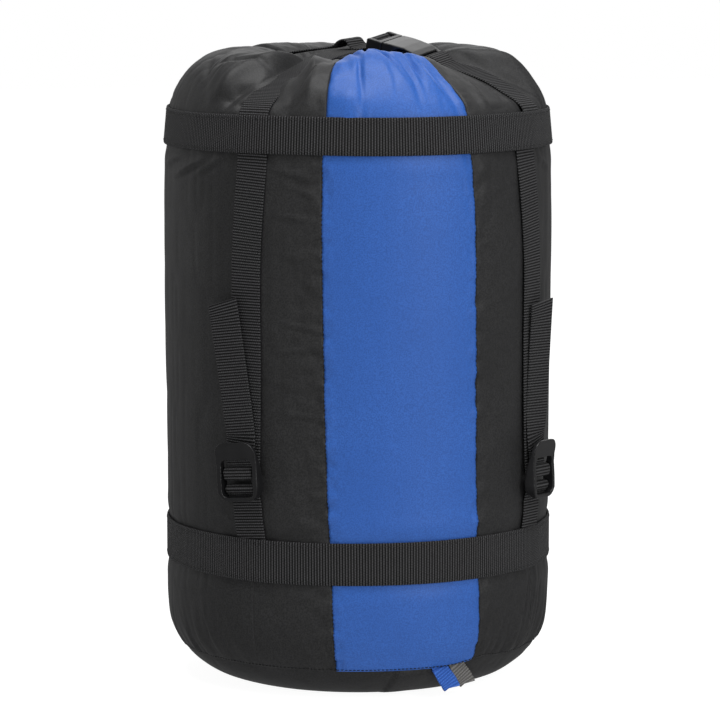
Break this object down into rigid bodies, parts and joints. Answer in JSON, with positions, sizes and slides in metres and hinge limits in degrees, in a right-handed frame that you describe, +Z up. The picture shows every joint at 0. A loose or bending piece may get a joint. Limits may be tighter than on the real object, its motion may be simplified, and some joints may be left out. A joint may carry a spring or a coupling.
{
  "type": "compression sack",
  "caption": "Cylindrical compression sack, packed full: webbing rings round the body, straps with ladder locks pulling the gathered top down, a buckled strap over the mouth.",
  "frame": {"origin": "centre of the base, on the surface the sack stands on", "axes": "+Z up through the mouth, -Y towards the blue front panel, +X to the right as seen from the front"},
  "size_m": [0.2342, 0.2342, 0.3876],
  "materials": {
    "black_cloth": "woven coated nylon, satin",
    "blue_cloth": "woven coated nylon, satin",
    "blue_tape": "folded nylon tape",
    "grey_tape": "folded woven tape",
    "filling": "packed quilted filling",
    "webbing": "ribbed woven webbing, matt",
    "cord": "braided cord",
    "buckle_plastic": "moulded acetal, satin",
    "spring_steel": "spring wire"
  },
  "bodies": {
    "base": {"base_panel": "black_cloth", "front_panel": "blue_cloth", "left_panel": "black_cloth", "right_panel": "black_cloth", "back_panel": "black_cloth", "packed_filling": "filling", "lower_band": "webbing", "main_strap_front_left": "webbing", "main_strap_front_right": "webbing", "main_strap_back_right": "webbing", "main_strap_back_left": "webbing", "anchor_web_front_left": "webbing", "anchor_web_front_right": "webbing", "anchor_web_back_right": "webbing", "anchor_web_back_left": "webbing", "pull_tab_blue": "blue_tape", "pull_tab_grey": "grey_tape"},
    "top": {"upper_band": "webbing", "top_blue_gore": "blue_cloth", "top_black_cloth": "black_cloth", "mouth_hem": "black_cloth", "drawcord": "cord", "cord_lock_barrel": "buckle_plastic", "cord_lock_spring": "spring_steel", "cross_strap": "webbing", "top_strap_back_left": "webbing", "top_strap_front_right": "webbing", "buckle_female": "buckle_plastic"},
    "lock_front_left": {"ladder_lock_front_left": "buckle_plastic", "adjuster_loop_front_left": "webbing"},
    "lock_front_right": {"ladder_lock_front_right": "buckle_plastic", "adjuster_loop_front_right": "webbing"},
    "lock_back_right": {"ladder_lock_back_right": "buckle_plastic", "adjuster_loop_back_right": "webbing"},
    "lock_back_left": {"ladder_lock_back_left": "buckle_plastic", "adjuster_loop_back_left": "webbing"},
    "tail_front_left": {"strap_tail_front_left": "webbing"},
    "tail_front_right": {"strap_tail_front_right": "webbing"},
    "tail_back_right": {"strap_tail_back_right": "webbing"},
    "tail_back_left": {"strap_tail_back_left": "webbing"},
    "buckle_male": {"buckle_male": "buckle_plastic"},
    "arm_near": {"latch_arm_near": "buckle_plastic"},
    "arm_far": {"latch_arm_far": "buckle_plastic"},
    "plunger": {"cord_lock_plunger": "buckle_plastic"}
  },
  "joints": [
    {"name": "compress", "type": "slide", "parent": "base", "child": "top", "axis": [0, 0, -1], "range_m": [0, 0.11], "stiffness_N_per_m": 150, "springref_m": -0.05, "deforming": ["front_panel", "left_panel", "right_panel", "back_panel", "packed_filling", "main_strap_front_left", "main_strap_front_right", "main_strap_back_right", "main_strap_back_left"]},
    {"name": "lock_tilt_front_left", "type": "hinge", "parent": "base", "child": "lock_front_left", "pos_m": [-0.09169, -0.07803, 0.1263], "axis": [0.6446, -0.7574, 0.1045], "range_deg": [0, 25], "stiffness_Nm_per_rad": 0.01, "springref_deg": -28.65},
    {"name": "lock_tilt_front_right", "type": "hinge", "parent": "base", "child": "lock_front_right", "pos_m": [0.08805, -0.08211, 0.1213], "axis": [0.6811, 0.7304, -0.0523], "range_deg": [0, 25], "stiffness_Nm_per_rad": 0.01, "springref_deg": -28.65},
    {"name": "lock_tilt_back_right", "type": "hinge", "parent": "base", "child": "lock_back_right", "pos_m": [0.08976, 0.08025, 0.125], "axis": [-0.6661, 0.745, 0.0349], "range_deg": [0, 25], "stiffness_Nm_per_rad": 0.01, "springref_deg": -28.65},
    {"name": "lock_tilt_back_left", "type": "hinge", "parent": "base", "child": "lock_back_left", "pos_m": [-0.0869, 0.08333, 0.1235], "axis": [-0.6915, -0.7211, -0.0436], "range_deg": [0, 25], "stiffness_Nm_per_rad": 0.01, "springref_deg": -28.65},
    {"name": "tail_feed_front_left", "type": "slide", "parent": "lock_front_left", "child": "tail_front_left", "axis": [-0.0943, 0.0569, 0.9939], "range_m": [0, 0.11]},
    {"name": "tail_feed_front_right", "type": "slide", "parent": "lock_front_right", "child": "tail_front_right", "axis": [0.0612, 0.0145, 0.998], "range_m": [0, 0.11]},
    {"name": "tail_feed_back_right", "type": "slide", "parent": "lock_back_right", "child": "tail_back_right", "axis": [0.0493, -0.0027, 0.9988], "range_m": [0, 0.11]},
    {"name": "tail_feed_back_left", "type": "slide", "parent": "lock_back_left", "child": "tail_back_left", "axis": [-0.0554, -0.0073, 0.9984], "range_m": [0, 0.11]},
    {"name": "buckle_release", "type": "slide", "parent": "top", "child": "buckle_male", "axis": [-0.7093, 0.6523, 0.2672], "range_m": [0, 0.024], "deforming": ["top_strap_back_left"]},
    {"name": "latch_press_near", "type": "hinge", "parent": "buckle_male", "child": "arm_near", "pos_m": [0.01261, -0.02063, 0.379], "axis": [0.1128, -0.2692, 0.9564], "range_deg": [0, 6], "stiffness_Nm_per_rad": 0.05, "springref_deg": -2.86},
    {"name": "latch_press_far", "type": "hinge", "parent": "buckle_male", "child": "arm_far", "pos_m": [0.02194, -0.01114, 0.38057], "axis": [-0.1128, 0.2692, -0.9564], "range_deg": [0, 6], "stiffness_Nm_per_rad": 0.05, "springref_deg": -2.86},
    {"name": "cord_lock_press", "type": "slide", "parent": "top", "child": "plunger", "axis": [-1, 0, 0], "range_m": [0, 0.004], "stiffness_N_per_m": 400, "springref_m": -0.003, "deforming": ["cord_lock_spring"]}
  ],
  "couplings": [
    {"joint": "tail_feed_front_left", "follows": "compress", "ratio": 1},
    {"joint": "tail_feed_front_right", "follows": "compress", "ratio": 1},
    {"joint": "tail_feed_back_right", "follows": "compress", "ratio": 1},
    {"joint": "tail_feed_back_left", "follows": "compress", "ratio": 1}
  ]
}
